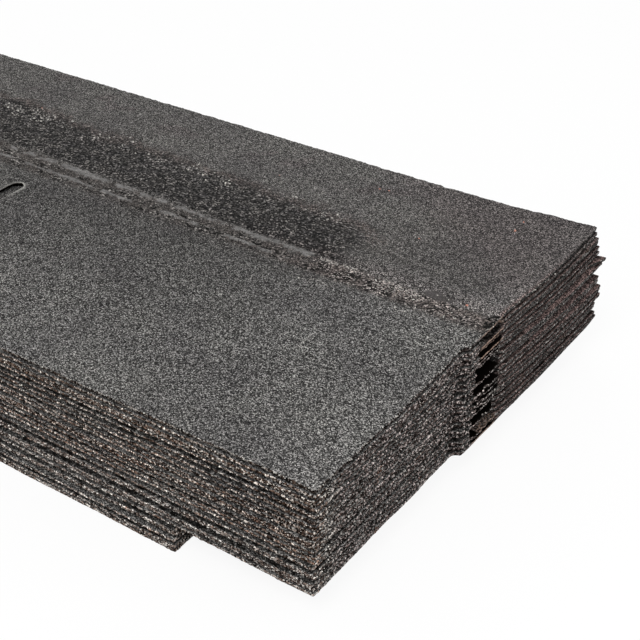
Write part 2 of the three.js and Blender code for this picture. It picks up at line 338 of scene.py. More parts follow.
class Graph:
    """Short calls for building the nodes of a material or of the world."""

    def __init__(self, owner):
        owner.use_nodes = True
        self.owner, self.tree = owner, owner.node_tree
        self.tree.nodes.clear()
        self.axes = {}

    def node(self, kind, inputs=None, **settings):
        """The outputs of a new node, whose inputs are values or other nodes' outputs."""
        made = self.tree.nodes.new(kind)
        for name, value in settings.items():
            setattr(made, name, value)
        for name, value in (inputs or {}).items():
            if isinstance(value, bpy.types.NodeSocket):
                self.tree.links.new(value, made.inputs[name])
            else:
                made.inputs[name].default_value = value
        return made.outputs

    def math(self, operation, first, *rest):
        """The operation on two values, and on its result and each further one."""
        for value in rest:
            first = self.node("ShaderNodeMath", {0: first, 1: value}, operation=operation)[0]
        return first

    add = partialmethod(math, "ADD")
    sub = partialmethod(math, "SUBTRACT")
    mul = partialmethod(math, "MULTIPLY")
    divide = partialmethod(math, "DIVIDE")
    most = partialmethod(math, "MAXIMUM")

    def rest(self, share):
        return self.sub(1.0, share)

    def step(self, low, high, value):
        """0 where value is below low, 1 above high, smooth between."""
        inputs = {0: value, 1: low, 2: high, 3: 0.0, 4: 1.0}
        return self.node("ShaderNodeMapRange", inputs, interpolation_type="SMOOTHSTEP")[0]

    def zone(self, **ranges):
        """How far a place lies in a zone, which along each of the named axes sets in at one place
        and is full at another, in mm."""
        return self.mul(*(self.step(*mm(*limits), self.axes[name]) for name, limits in ranges.items()))

    def ramp(self, value, stops):
        made = self.tree.nodes.new("ShaderNodeValToRGB")
        while len(made.color_ramp.elements) < len(stops):
            made.color_ramp.elements.new(0.5)
        for element, (place, *colour) in zip(made.color_ramp.elements, stops):
            element.position = place
            element.color = (*colour, 1)
        self.tree.links.new(value, made.inputs[0])
        return made.outputs[0]

    def mix(self, share, a, b, blend="MIX"):
        inputs = {0: share, 6: a, 7: (*b, 1) if isinstance(b, tuple) else b}
        return self.node("ShaderNodeMix", inputs, data_type="RGBA", blend_type=blend)[2]

    def times(self, colour, other):
        return self.mix(1.0, colour, other, "MULTIPLY")

    def tinted(self, colour, tints):
        """The colour, multiplied by each tint to the share that comes with it."""
        for share, tint in tints:
            colour = self.mix(share, colour, self.times(colour, tint))
        return colour

    def place(self):
        """The object's own coordinates, and each of them alone."""
        whole = self.node("ShaderNodeTexCoord")["Object"]
        return whole, *self.node("ShaderNodeSeparateXYZ", {0: whole})

    def noise(self, vector, size, detail=2.0, roughness=0.5):
        return self.node("ShaderNodeTexNoise", {
            "Vector": vector, "Scale": 1 / size, "Detail": detail, "Roughness": roughness})[0]

    def patches(self, vector, size, detail, limits):
        """Patches of noise, which set in and are full at the given limits."""
        return self.step(*limits, self.noise(vector, size, detail))

    def centred(self, value, width):
        """A number from 0 to 1, moved to lie around 0 and widened."""
        return self.mul(self.sub(value, 0.5), width)

    def cells(self, vector, size):
        """Crushed-stone cells: distance from each cell's middle, and two of its random numbers."""
        made = self.node("ShaderNodeTexVoronoi", {"Vector": vector, "Scale": 1 / size})
        split = self.node("ShaderNodeSeparateColor", {0: made["Color"]})
        return made["Distance"], split[0], split[1]

    def domes(self, near, lift):
        """The height of crushed-stone cells, each domed and raised by chance."""
        return self.mul(self.rest(self.mul(near, 1.2)), self.add(0.35, lift))

    def grey(self, value):
        return self.node("ShaderNodeCombineColor", {0: value, 1: value, 2: value})[0]

    def stretched(self, vector, scale):
        return self.node("ShaderNodeMapping", {"Vector": vector, "Scale": scale})[0]

    def attribute(self, name):
        return self.node("ShaderNodeAttribute", attribute_name=name)["Fac"]

    def away(self, spot):
        """Distance from the middle of a spot, which is 1 at its rim.  spot holds its middle, length
        and width."""
        sides = (self.divide(self.sub(self.axes[name], spot[k]), spot[k + 2] / 2)
                 for k, name in enumerate(("end", "butt")))
        return self.math("SQRT", self.add(*(self.mul(side, side) for side in sides)), 0.0)

    def seen(self):
        """1 where the camera looks, also by reflection or through glass."""
        path = self.node("ShaderNodeLightPath")
        return self.most(*(path[f"Is {kind} Ray"] for kind in ("Camera", "Glossy", "Transmission")))

    def finish(self, colour, roughness, height, depth, specular=0.5):
        bump = self.node("ShaderNodeBump", {"Strength": 1.0, "Distance": depth, "Height": height})
        shader = self.node("ShaderNodeBsdfPrincipled", {
            "Base Color": colour, "Roughness": roughness, "Specular IOR Level": specular,
            "Normal": bump[0]})
        self.node("ShaderNodeOutputMaterial", {0: shader[0]})
        return self.owner


def new_material(name):
    return Graph(bpy.data.materials.new(name))


top_low, top_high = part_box(TOP_SHEET)
BUTT_Y = top_low.y
END_X = top_high.x
COVER_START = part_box(COVER_SHEET)[0].x
TOP_FLOOR = top_low.z + SHEET_THICKNESS


# ---------- colours

# granule colours, from the many dark ones to the few pale ones
GRANULE_TONES = [
    (0.0, 0.008, 0.008, 0.008), (0.4, 0.026, 0.025, 0.0243), (0.62, 0.098, 0.096, 0.094),
    (0.8, 0.24, 0.235, 0.229), (0.94, 0.468, 0.457, 0.442), (1.0, 0.7, 0.684, 0.66),
]
# the same where the sheet above kept them damp
DAMP_TONES = [
    (0.0, 0.002, 0.002, 0.002), (0.34, 0.007, 0.0067, 0.0065), (0.62, 0.031, 0.0296, 0.0287),
    (0.86, 0.118, 0.113, 0.109), (1.0, 0.38, 0.363, 0.346),
]
# the loose ones past the beads
LOOSE_TONES = [
    (0.0, 0.002, 0.002, 0.002), (0.36, 0.01, 0.009, 0.0085), (0.62, 0.095, 0.088, 0.083),
    (0.84, 0.37, 0.345, 0.328), (1.0, 0.9, 0.855, 0.8),
]
# what shows where a strip was cut: asphalt, crushed filler and split granules
CUT_TONES = [
    (0.0, 0.003, 0.003, 0.002), (0.3, 0.01, 0.0092, 0.0085), (0.56, 0.068, 0.0625, 0.058),
    (0.8, 0.278, 0.264, 0.247), (0.94, 0.79, 0.765, 0.715), (1.0, 1.0, 0.98, 0.92),
]
# the same on the back half of the right end, where few granules were split
REAR_TONES = [
    (0.0, 0.004, 0.0035, 0.003), (0.3, 0.021, 0.018, 0.017), (0.6, 0.067, 0.06, 0.0575),
    (0.86, 0.166, 0.15, 0.1445), (1.0, 0.396, 0.37, 0.355),
]
BARE_TONES = [(0.25, 0.014, 0.0105, 0.009), (0.72, 0.41, 0.288, 0.228)]
BACKING_TONES = [(0.0, 0.02, 0.019, 0.018), (0.7, 0.05, 0.047, 0.044), (1.0, 0.15, 0.14, 0.13)]
SMEAR_TONES = [(0.28, 0.04, 0.037, 0.035), (0.46, 0.126, 0.122, 0.119), (0.7, 0.202, 0.197, 0.192)]
GRIME_TONES = [(0.0, 0.008, 0.007, 0.006), (0.6, 0.042, 0.036, 0.033), (1.0, 0.15, 0.128, 0.118)]
SCRAP_TONES = [(0.35, 0.05, 0.045, 0.044), (0.65, 0.086, 0.079, 0.078)]
STONE_TONES = [
    (0.0, 0.05, 0.048, 0.045), (0.5, 0.19, 0.182, 0.172),
    (0.85, 0.43, 0.405, 0.375), (1.0, 0.79, 0.765, 0.71),
]
RUST_TONES = [(0.3, 0.36, 0.13, 0.09), (0.7, 0.66, 0.34, 0.25)]

# clouds that lighten and darken the granules, the damp ones and the proud stones
CLOUDS = [(0.32, 0.88, 0.87, 0.88), (0.68, 1.11, 1.11, 1.09)]
DAMP_CLOUDS = [(0.35, 0.72, 0.71, 0.73), (0.65, 1.22, 1.19, 1.17)]
STONE_CLOUDS = [(0.3, 0.8, 0.8, 0.8), (0.7, 1.15, 1.15, 1.15)]

# black for painted shade and pits, dark spots, painted shade in breaks and slots, bare asphalt, painted
# highlights round the slots and along the ledge, and sealant specks
PAINTED_SHADE_BLACK = (0.004, 0.0035, 0.003)
SPOT_BLACK = (0.008, 0.007, 0.008)
RECESS_SHADE_BLACK = (0.0012, 0.001, 0.0009)
COVERED_BROWN = (0.004, 0.0032, 0.0027)
SLOT_HIGHLIGHT_GREY = (0.52, 0.51, 0.475)
LEDGE_HIGHLIGHT_BEIGE = (0.4, 0.335, 0.295)
DARK_SPECK = (0.018, 0.016, 0.014)
PALE_SPECK = (0.26, 0.245, 0.23)

# the back edge of the beads, which lean a little away from the butt edge
BEAD_BACK = 174 * MM
BEAD_LEAN = 0.0225

# spots on the top sheet: distance from the right end, from the butt, length and width
SCRAP = mm(41, 178, 24, 10)
END_PIT = mm(3.6, 171, 7, 21)
DARK_SPOTS = [mm(280, 87, 5, 4), mm(62, 24, 4, 4)]


# ---------- materials

def granule_coat():
    g = new_material("granule_coat")
    whole, x, y, z = g.place()
    from_end, from_butt = g.sub(END_X, x), g.sub(y, BUTT_Y)
    g.axes = {"end": from_end, "butt": from_butt}
    near, tone, lift = g.cells(whole, 0.54 * MM)
    headlap = g.zone(butt=(178, 200))

    # the headlap was less weathered, so its granules differ less
    evened = g.add(g.mul(tone, 0.9), 0.07)
    tone = g.add(g.mul(tone, 0.93), 0.045)
    tone = g.add(tone, g.mul(headlap, g.sub(evened, tone)))
    colour = g.times(g.ramp(tone, GRANULE_TONES), g.ramp(g.noise(whole, 42 * MM, 3.0), CLOUDS))

    # wear and brown by their place on the sheet, and a painted highlight near the right end's corner
    slant = g.sub(from_butt, 205 * MM)
    g.axes["corner"] = g.sub(from_end, g.mul(slant, 1.3))
    brown_back = g.mul(g.zone(butt=(262, 285)), g.patches(whole, 24 * MM, 1.0, (0.54, 0.68)))
    brown = g.most(g.zone(corner=(40, -20)), brown_back)
    worn_tab = g.zone(butt=(15, 150), end=(50, 190))
    corner_highlight = g.zone(butt=(110, 10), end=(60, 0))
    end_strip_highlight = g.mul(g.zone(butt=(238, 205)), g.zone(butt=(174, 180)), g.zone(end=(32, 4)))
    colour = g.tinted(colour, [
        (headlap, (0.87, 0.855, 0.85)),
        (g.mul(headlap, brown), (0.985, 0.935, 0.95)),
        (g.mul(g.rest(headlap), worn_tab), (0.68, 0.675, 0.675)),
        (g.add(corner_highlight, end_strip_highlight), (1.34, 1.34, 1.33)),
        (g.mul(headlap, g.zone(end=(120, 90)), g.zone(end=(6, 22))), (0.93, 0.92, 0.92)),
    ])

    # the stain behind the beads, dark where the sheet above kept it damp
    grain = g.centred(lift, 14 * MM)
    sway = g.add(g.centred(g.noise(whole, 24 * MM, 4.0, 0.7), 44 * MM), grain)
    bead_line = g.add(BEAD_BACK, g.mul(from_end, BEAD_LEAN))
    past_bead = g.sub(from_butt, bead_line)
    wider = g.mul(g.add(g.zone(end=(150, 340)), g.zone(end=(365, 430))), 9 * MM)
    g.axes["stain_front"] = g.add(past_bead, g.mul(grain, 0.3))
    g.axes["stain_back"] = g.add(from_butt, g.sub(sway, wider))
    g.axes["stain_end"] = g.sub(g.add(from_end, sway), g.mul(g.most(slant, 0.0), 0.7))
    stain = g.zone(stain_front=(0, 4), stain_back=(244, 226), stain_end=(92, 118))
    damp = g.ramp(g.cells(whole, 1.0 * MM)[1], DAMP_TONES)
    damp = g.times(damp, g.ramp(g.noise(whole, 8 * MM, 2.0), DAMP_CLOUDS))
    damp = g.tinted(damp, [(g.zone(butt=(222, 208)), (0.9, 0.9, 0.9))])
    colour = g.mix(stain, colour, damp)
    fading = g.mul(g.step(0.02, 0.25, stain), g.step(0.98, 0.6, stain), g.zone(butt=(200, 225)))
    colour = g.tinted(colour, [(g.mul(fading, g.step(0.35, 0.65, lift)), (1.22, 1.06, 1.02))])

    # pinkish-brown granules where the beads fade out, and brown grime between the beads
    g.axes["lane_front"] = g.add(from_butt, g.mul(grain, 0.4))
    g.axes["lane_back"] = g.add(past_bead, g.mul(grain, 0.2))
    g.axes["swaying_end"] = g.add(from_end, sway)
    lane = g.zone(lane_front=(157, 161), lane_back=(2, -1))
    patchy = g.patches(whole, 9 * MM, 2.0, (0.4, 0.58))
    loose = g.add(g.mul(g.zone(swaying_end=(135, 105)), 0.35), 0.2, g.mul(patchy, 0.4))
    colour = g.mix(g.mul(lane, loose), colour, g.ramp(g.cells(whole, 0.85 * MM)[1], LOOSE_TONES))
    grime = g.mul(lane, g.add(0.2, g.mul(g.rest(patchy), 0.8)))
    colour = g.tinted(colour, [(grime, (0.71, 0.67, 0.655))])

    # black pits in a row before the beads, the shade of their hollows painted, and the tints of the lane's
    # two sides
    g.axes["before_bead"] = g.sub(bead_line, from_butt)
    drawn = g.stretched(whole, (0.5, 1, 1))
    row = g.mul(g.zone(butt=(158, 162), before_bead=(3, 7)), g.add(0.35, g.mul(g.zone(end=(20, 60)), 0.65)))
    pits = g.mul(g.patches(drawn, 1.5 * MM, 1.0, (0.515, 0.58)), g.patches(whole, 9 * MM, 1.0, (0.4, 0.52)))
    colour = g.mix(g.mul(row, pits), colour, PAINTED_SHADE_BLACK)
    before_lane = g.mul(g.zone(butt=(143, 152)), g.zone(butt=(166, 161)))
    before_lane = g.mul(before_lane, g.zone(end=(60, 110)), g.zone(end=(330, 270)))
    rosy_lane = g.mul(g.zone(butt=(157, 163)), g.zone(butt=(196, 182)), g.zone(end=(190, 110)))
    colour = g.tinted(colour, [(before_lane, (0.86, 0.85, 0.85)), (rosy_lane, (1.02, 0.975, 0.975))])

    # a scrap of sealant wiped flat, a pit at the lane's end with its hollow's shade painted black, and two
    # dark spots
    wobble = g.centred(g.noise(whole, 6 * MM, 2.0), 1.3)
    scrap = g.step(1.0, 0.6, g.add(g.away(SCRAP), wobble))
    colour = g.mix(g.mul(scrap, 0.85), colour, g.ramp(g.noise(drawn, 5 * MM, 2.0), SCRAP_TONES))
    pit = g.step(1.0, 0.7, g.add(g.away(END_PIT), wobble))
    pit = g.mul(pit, g.patches(whole, 2.2 * MM, 2.0, (0.38, 0.46)))
    colour = g.mix(pit, colour, PAINTED_SHADE_BLACK)
    colour = g.tinted(colour, [(g.zone(end=(5, 1), butt=(172, 186)), (1.16, 0.9, 0.86))])
    for spot in DARK_SPOTS:
        colour = g.mix(g.mul(g.step(1.1, 0.7, g.away(spot)), 0.8), colour, SPOT_BLACK)

    # under the other sheets the lane is bare asphalt, without granules
    g.axes.update(depth=g.sub(TOP_FLOOR, z), past_cover=g.sub(x, COVER_START))
    covered = g.mul(g.zone(depth=(0.5, 1.5), butt=(154, 156)), g.zone(butt=(183, 181), past_cover=(-1, 1)))
    colour = g.mix(covered, colour, COVERED_BROWN)

    # painted shade, nearly black, just inside the edges where the next sheet lies on it, and a painted
    # highlight round the slots
    under_shade = g.attribute("under_shade")
    colour = g.mix(under_shade, colour, PAINTED_SHADE_BLACK)
    colour = g.mix(g.attribute("rim_highlight"), colour, SLOT_HIGHLIGHT_GREY)
    sheen = g.mul(g.rest(g.most(covered, under_shade)), 0.1)
    return g.finish(colour, 0.9, g.domes(near, lift), depth=0.5 * MM, specular=sheen)


def cut_edge():
    g = new_material("cut_edge")
    whole, x, y, z = g.place()
    near, tone, lift = g.cells(g.stretched(whole, (1.2, 1.2, 1)), 0.97 * MM)
    level = g.add(g.attribute("level"), g.centred(lift, 0.8))
    shade, deep = g.attribute("shade"), g.attribute("deep")
    g.axes = {"end": g.sub(END_X, x), "butt": g.sub(y, BUTT_Y), "height": z}
    g.axes["swaying_height"] = g.add(z, g.centred(shade, 14 * MM))
    rear, front = g.zone(butt=(150, 196)), g.zone(butt=(14, 4))
    colour = g.mix(rear, g.ramp(tone, CUT_TONES), g.ramp(tone, REAR_TONES))
    colour = g.times(colour, g.grey(g.add(0.85, g.mul(shade, 0.4))))

    # the arris gets a painted highlight and the foot painted shade.  The pale split granules stay clean,
    # and grime tints the rest: rust brown on the butt edges of the upper sheets, purplish brown on the
    # back half of the right end
    foot = g.mul(g.step(0.4, 0.1, level), g.attribute("foot"))
    grimy = g.rest(g.mul(g.step(0.66, 0.9, tone), 0.85))
    upper = g.add(0.3, g.mul(g.zone(swaying_height=(26, 44)), 0.7))
    streaks = g.patches(g.stretched(whole, (1, 1, 3)), 34 * MM, 3.0, (0.25, 0.6))
    stain = g.patches(whole, 13 * MM, 2.0, (0.64, 0.74))
    lower = g.mul(front, g.zone(height=(52, 34)))
    halfway = g.mul(front, g.zone(height=(38, 50)), g.zone(height=(76, 64)))
    colour = g.tinted(colour, [
        (g.step(0.6, 1.0, level), (1.3, 1.3, 1.3)),
        (foot, (0.07, 0.065, 0.06)),
        (grimy, (0.98, 0.865, 0.81)),
        (g.mul(front, upper, streaks, grimy), (1.1, 0.84, 0.7)),
        (g.mul(stain, grimy), (1.14, 0.84, 0.68)),
        (g.mul(rear, grimy), (0.705, 0.892, 0.95)),
        (g.mul(g.zone(butt=(10, 24)), g.rest(rear)), (0.7, 0.64, 0.66)),
        (lower, (0.9, 0.905, 0.915)),
        (g.mul(lower, grimy), (1.86, 1.81, 1.8)),
        (halfway, (0.95, 0.9, 0.88)),
        (g.mul(halfway, grimy), (0.88, 0.87, 0.87)),
        (g.mul(front, g.zone(end=(260, 420))), (1.22, 1.26, 1.28)),
    ])

    # the bare lane's thin brown edge, painted shade where it has broken out and in the slots, and a painted
    # highlight along the ledge's butt
    bare = g.mul(g.add(0.12, g.noise(whole, 1.5 * MM, 2.0)), g.step(0.0, 0.35, level))
    colour = g.mix(g.mul(g.attribute("bare"), 0.85), colour, g.ramp(bare, BARE_TONES))
    colour = g.mix(deep, colour, RECESS_SHADE_BLACK)
    colour = g.mix(g.attribute("ledge_highlight"), colour, LEDGE_HIGHLIGHT_BEIGE)
    sheen = g.mul(g.rest(g.most(foot, deep)), 0.04)
    return g.finish(colour, 0.85, g.domes(near, lift), depth=0.6 * MM, specular=sheen)


def backing():
    g = new_material("backing")
    near, tone, _ = g.cells(g.place()[0], 0.7 * MM)
    return g.finish(g.ramp(tone, BACKING_TONES), 0.8, g.rest(near), depth=0.2 * MM)


def sealant():
    g = new_material("sealant")
    whole = g.place()[0]
    smear = g.noise(g.stretched(whole, (0.35, 1, 1)), 3.5 * MM, 5.0, 0.65)
    _, tone, lift = g.cells(whole, 0.8 * MM)
    # grime and granules show through where the bead is thin
    thin = g.step(0.92, 0.45, g.add(g.attribute("left"), g.centred(tone, 0.5)))
    colour = g.mix(thin, g.ramp(smear, SMEAR_TONES), g.ramp(lift, GRIME_TONES))
    colour = g.mix(g.mul(g.step(0.8, 0.9, tone), 0.7), colour, DARK_SPECK)
    colour = g.mix(g.mul(g.step(0.92, 0.97, lift), 0.7), colour, PALE_SPECK)
    return g.finish(colour, 0.75, smear, depth=0.25 * MM, specular=0.2)


def proud_granules():
    g = new_material("proud_granules")
    mottle = g.noise(g.place()[0], 0.6 * MM, 2.0)
    colour = g.times(g.ramp(g.attribute("tone"), STONE_TONES), g.ramp(mottle, STONE_CLOUDS))
    return g.finish(colour, 0.7, mottle, depth=0.1 * MM)


def rust_granules():
    g = new_material("rust_granules")
    mottle = g.noise(g.place()[0], 0.9 * MM, 2.0)
    return g.finish(g.ramp(mottle, RUST_TONES), 0.7, mottle, depth=0.1 * MM)


MATERIALS = [granule_coat(), cut_edge(), backing()]
FACE, EDGE, BACK = range(3)
SEALANT = sealant()
PROUD = proud_granules()
RUST = rust_granules()


# ---------- meshes

def placed(name, data):
    made = bpy.data.objects.new(name, data)
    bpy.context.scene.collection.objects.link(made)
    return made


def make_piece(name, corners, triangles, attributes, materials, indices=0):
    mesh = bpy.data.meshes.new(name)
    for part, count, key, values in (
        (mesh.vertices, len(corners), "co", np.float32(corners)),
        (mesh.loops, triangles.size, "vertex_index", np.int32(triangles)),
        (mesh.polygons, len(triangles), "loop_start", np.arange(0, triangles.size, 3, np.int32)),
    ):
        part.add(count)
        part.foreach_set(key, values.reshape(-1))
    for material in materials:
        mesh.materials.append(material)
    mesh.polygons.foreach_set("material_index", np.full(len(triangles), indices, np.int32))
    for key, values in attributes.items():
        layer = mesh.attributes.new(key, "FLOAT", "POINT")
        layer.data.foreach_set("value", np.float32(values))
    mesh.update(calc_edges=True)
    mesh.validate()
    piece = placed(name, mesh)
    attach(piece, "root")
    return piece


def band(a, b, c, d):
    """Two triangles for each four-cornered patch."""
    return np.concatenate([np.stack([a, b, c], axis=1), np.stack([a, c, d], axis=1)])


def filled(ring, inner):
    """Triangles over a closed line of plan points and the inner points that it encloses.  Returns
    the plan points, the triangles, and which ring point each plan point is, or -1."""
    count = len(ring)
    points = [Vector(p) for p in np.concatenate([ring, inner])]
    made = geometry.delaunay_2d_cdt(points, [], [list(range(count))], 1, 1e-9)
    plan = np.array([p[:] for p in made[0]])
    faces = np.array(made[2])
    origin = np.array([o[0] if o and o[0] < count else -1 for o in made[3]])
    used, faces = np.unique(faces, return_inverse=True)
    return plan[used], faces.reshape(-1, 3), origin[used]


def spread(low, high, step, seed=0, shake=0.0):
    """Points over a rectangle, on one lattice for the whole stack, each shaken off its place."""
    grid = (np.arange(math.ceil(low[k] / step[k]), math.floor(high[k] / step[k]) + 1) * step[k]
            for k in (0, 1))
    gx, gy = (a.reshape(-1) for a in np.meshgrid(*grid))
    random = np.random.default_rng(seed)
    gx = gx + random.uniform(-shake, shake, gx.shape) * step[0]
    gy = gy + random.uniform(-shake, shake, gy.shape) * step[1]
    return np.stack([gx, gy], axis=1)


# the rings of points round a sheet's edge, from its foot up: the share of the thickness, how far
# it is drawn in, how much of the undercut reaches it, and how rough it is.  The last but one is
# the arris, and the last lies on the top face behind it.
RINGS = [
    (0.00, EDGE_DRAW_IN, 1.0, 0.3),
    (0.20, EDGE_DRAW_IN, 0.7, 0.8),
    (0.44, EDGE_DRAW_IN * 0.9, 0.1, 1.0),
    (0.72, EDGE_DRAW_IN * 0.7, 0.0, 1.0),
    (0.94, EDGE_DRAW_IN, 0.0, 0.9),
    (1.00, ARRIS_WIDTH, 0.0, 0.5),
]
ARRIS = len(RINGS) - 2


def in_lane(x, y):
    """How far a place lies in the recessed lane, 0 to 1."""
    y = y - BUTT_Y + LANE_WANDER * (noise("lane", x, y) - 0.5)
    return (smooth_step(LANE_START, LANE_START + LANE_EDGE_SOFTNESS, y)
            * smooth_step(LANE_END, LANE_END - LANE_EDGE_SOFTNESS, y))


def edge_step(name):
    """How finely each stretch of a sheet's edge is meshed, by where it lies."""
    low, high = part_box(name)

    def step_at(x, y):
        if name == TOP_SHEET or y < low.y + EDGE_BAND or x > high.x - SHOWN_END_BAND:
            return SHOWN_EDGE_STEP
        if y > high.y - EDGE_BAND or x < low.x + EDGE_BAND:
            return FAR_EDGE_STEP
        return SLOT_EDGE_STEP
    return step_at


def inside(points, outline):
    """Which plan points lie inside a closed outline."""
    x, y = points[:, 0, None], points[:, 1, None]
    x0, y0 = outline[:, 0], outline[:, 1]
    x1, y1 = np.roll(x0, -1), np.roll(y0, -1)
    crossed = (y0 > y) != (y1 > y)
    at = x0 + (y - y0) * (x1 - x0) / np.where(y1 == y0, 1, y1 - y0)
    return (crossed & (x < at)).sum(axis=1) % 2 == 1


def inner_points(name, side):
    """Points to mesh a sheet's face with: side is 1 for the upper face and -1 for the lower."""
    low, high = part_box(name)
    if side > 0 and name == TOP_SHEET:
        start, stop = BUTT_Y + LANE_START - LANE_MARGIN, BUTT_Y + LANE_END + LANE_MARGIN
        face = spread(low, high, FACE_STEP, FACE_SEED, FACE_SHAKE)
        face = face[(face[:, 1] < start) | (face[:, 1] > stop)]
        strip = spread((low.x, start), (high.x, stop), LANE_STEP, LANE_SEED, FACE_SHAKE)
        return np.concatenate([face, strip])
    coarse = spread(low, high, HIDDEN_STEP)
    if side > 0 and name == LEDGE_SHEET:
        bare_to = COVER_START + LEDGE_MARGIN
        shown = spread(low, (bare_to, high.y), FACE_STEP, LEDGE_SEED, FACE_SHAKE)
        return np.concatenate([shown, coarse[coarse[:, 0] > bare_to]])
    return coarse


def line_shade(air):
    """How dark the painted shade line is where two sheets meet with this much air."""
    return min(1.0, LINE_SHADE[0] + LINE_SHADE[1] * max(0.0, air - SNUG_AIR))


def shingle(index, air, air_above):
    """Builds a sheet with its broken, granular edge, and returns its arris.  air is the gap below
    its butt edge, and air_above the one over it."""
    name = cad_name(index)
    line, surface = lines[index], surfaces[index]
    low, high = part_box(name)
    places = finely(line, edge_step(name))
    plan = rounded(line, places, CORNER_ROUNDING)
    count = len(plan)
    behind, from_butt = high.x - plan[:, 0], plan[:, 1] - low.y
    at_end, at_butt, lane = behind < END_BAND, from_butt < BUTT_BAND, in_lane(*plan.T)
    is_top, is_bare = name == TOP_SHEET, index in BARE_LANES
    recess = LANE_RECESS
    if not is_top:
        recess = recess * (BARE_LANE_RECESS if is_bare else COVERED_LANE_RECESS)
    under = read_line(line, places, 2)
    over = under + SHEET_THICKNESS - FACE_DRAW_IN - recess * lane
    ahead = np.roll(plan, -1, axis=0) - np.roll(plan, 1, axis=0)
    ahead /= np.maximum(np.linalg.norm(ahead, axis=1, keepdims=True), 1e-12)
    outward = np.stack([ahead[:, 1], -ahead[:, 0]], axis=1)

    random = np.random.default_rng(SHEET_SEED + index)
    undercut = LEAST_UNDERCUT + UNDERCUT_PER_AIR * air
    undercut = undercut * (0.5 + noise("undercut", places, index=index))
    undercut = np.where(at_end, END_UNDERCUT_SHARE * undercut, undercut)
    wave = EDGE_ROUGHNESS * (noise("wave", places, index=index) - 0.5)
    # how far each point lies in a break of the lane, behind the straight end of its sheet, which sets the
    # painted shade there, and how the lane's end and what lies just before it have crumbled
    broken = smooth_step(*BREAK_SHADE, behind) * at_end * lane
    crumbly = smooth_step(*CRUMBLE_FRONT, from_butt) * smooth_step(*CRUMBLE_BACK, from_butt) * at_end
    crumbly = crumbly * (not is_bare)
    crumbled = LANE_CRUMBLE * crumbly * noise("crumble", *plan.T, index) ** 2
    if is_top:
        ragged = noise("back", places) * noise("back waves", places)
        crumbled = crumbled + BACK_RAGGEDNESS * ragged * (plan[:, 1] > high.y - BACK_BAND)

    # the painted shade lines under the sheet and over it come and go along the edge
    coming = BUTT_LINE[0] + BUTT_LINE[1] * noise("butt line", places, index=index)
    at_side = END_LINE_SHARE * (END_LINE[0] + END_LINE[1] * noise("end line", places, index=index))
    coming = np.where(at_end & (from_butt > BUTT_BAND), at_side, coming)
    coming = np.clip(coming * random.uniform(*LINE_CHANCE, count), 0, 1)
    # points of a slot's edge, which gets painted shade below a painted highlight on its arris
    slot = ((plan[:, 1] > low.y + SLOT_BUTT) & (plan[:, 1] < high.y - SLOT_BACK)
            & (plan[:, 0] > low.x + SLOT_LEFT) & (behind > END_BAND))
    rings, levels = [], []
    for share, draw_in, reach, rough in RINGS:
        rough = rough * np.where(at_end, np.where(from_butt < REAR_START, *END_ROUGHNESS), 1)
        if name == COVER_SHEET:
            rough = rough * np.where(at_end, OVERHANG_ROUGHNESS, 1)
        shift = wave + rough * EDGE_ROUGHNESS * random.uniform(-1, 1, count) - crumbled
        shift = np.minimum(shift - draw_in - reach * undercut, 0)
        z = under + (over - under) * share
        z = z + rough * RING_ROUGHNESS * random.uniform(-1, 1, count) * (0.1 < share < 0.9)
        rings.append(np.column_stack([plan + outward * shift[:, None], z]))
        levels.append(np.full(count, share))

    here = np.arange(count)
    beside = np.roll(here, -1)
    walls = []
    for start in range(0, count * (len(RINGS) - 1), count):
        walls.append(band(here + start, beside + start, beside + start + count, here + start + count))
    faces, indices = [np.concatenate(walls)], [np.full(len(walls) * len(walls[0]), EDGE)]
    indices[0][-len(walls[0]):] = FACE
    vertices = list(rings)
    total = count * len(RINGS)

    # the lower face within the first ring, and the upper one within the last
    for side, ring, start in ((-1, rings[0], 0), (1, rings[-1], total - count)):
        flat, made, origin = filled(ring[:, :2], inner_points(name, side))
        z = surface.height(*flat.T)
        if side > 0:
            z = z + SHEET_THICKNESS - FACE_DRAW_IN - recess * in_lane(*flat.T)
            if name in (TOP_SHEET, LEDGE_SHEET):
                z = z + GRANULE_RELIEF * random.uniform(-1, 1, len(z))
        # points of the ring are there already, and the others are new
        fresh = origin < 0
        number = start + origin
        number[fresh] = total + np.arange(fresh.sum())
        vertices.append(np.column_stack([flat[fresh], z[fresh]]))
        levels.append(np.full(fresh.sum(), 1.0 if side > 0 else 0.0))
        total += int(fresh.sum())
        faces.append(number[made] if side > 0 else number[made][:, ::-1])
        indices.append(np.full(len(made), FACE if side > 0 else BACK))

    # what the materials read at each point: the arris and the rings below it are the cut edge
    marks = {key: np.zeros(total) for key in ("deep", "bare", "under_shade", "rim_highlight", "ledge_highlight", "foot")}
    top_ring = count * (ARRIS + 1)
    edge, arris = slice(0, top_ring), slice(top_ring - count, top_ring)
    face = slice(top_ring, top_ring + count)
    broken = broken * (BARE_BREAK_SHADE if is_bare else 1)
    # painted shade in the lane's breaks and on the slots' walls
    marks["deep"][:count * ARRIS] = np.tile(np.maximum(broken, slot), ARRIS)
    marks["bare"][edge] = np.tile(lane * is_bare * (TOP_BARENESS if is_top else 1), ARRIS + 1)
    # painted shade at the foot of the edge, darker with more air below
    marks["foot"][edge] = np.tile(coming * line_shade(air), ARRIS + 1)
    marks["level"] = np.concatenate(levels)
    marks["shade"] = np.full(total, TOP_EDGE_SHADE[0] if is_top else lattice(index, 0, SHADE_SEED))
    # a painted highlight along the ledge sheet's butt, where its curled edge catches the light
    if name == LEDGE_SHEET:
        ledge_highlight = smooth_step(*LEDGE_HIGHLIGHT_SPAN, behind) * at_butt * noise("ledge_highlight", places)
        marks["ledge_highlight"][arris] = np.clip(LEDGE_HIGHLIGHT_STRENGTH[0] * ledge_highlight, 0, LEDGE_HIGHLIGHT_STRENGTH[1])
    if is_top:
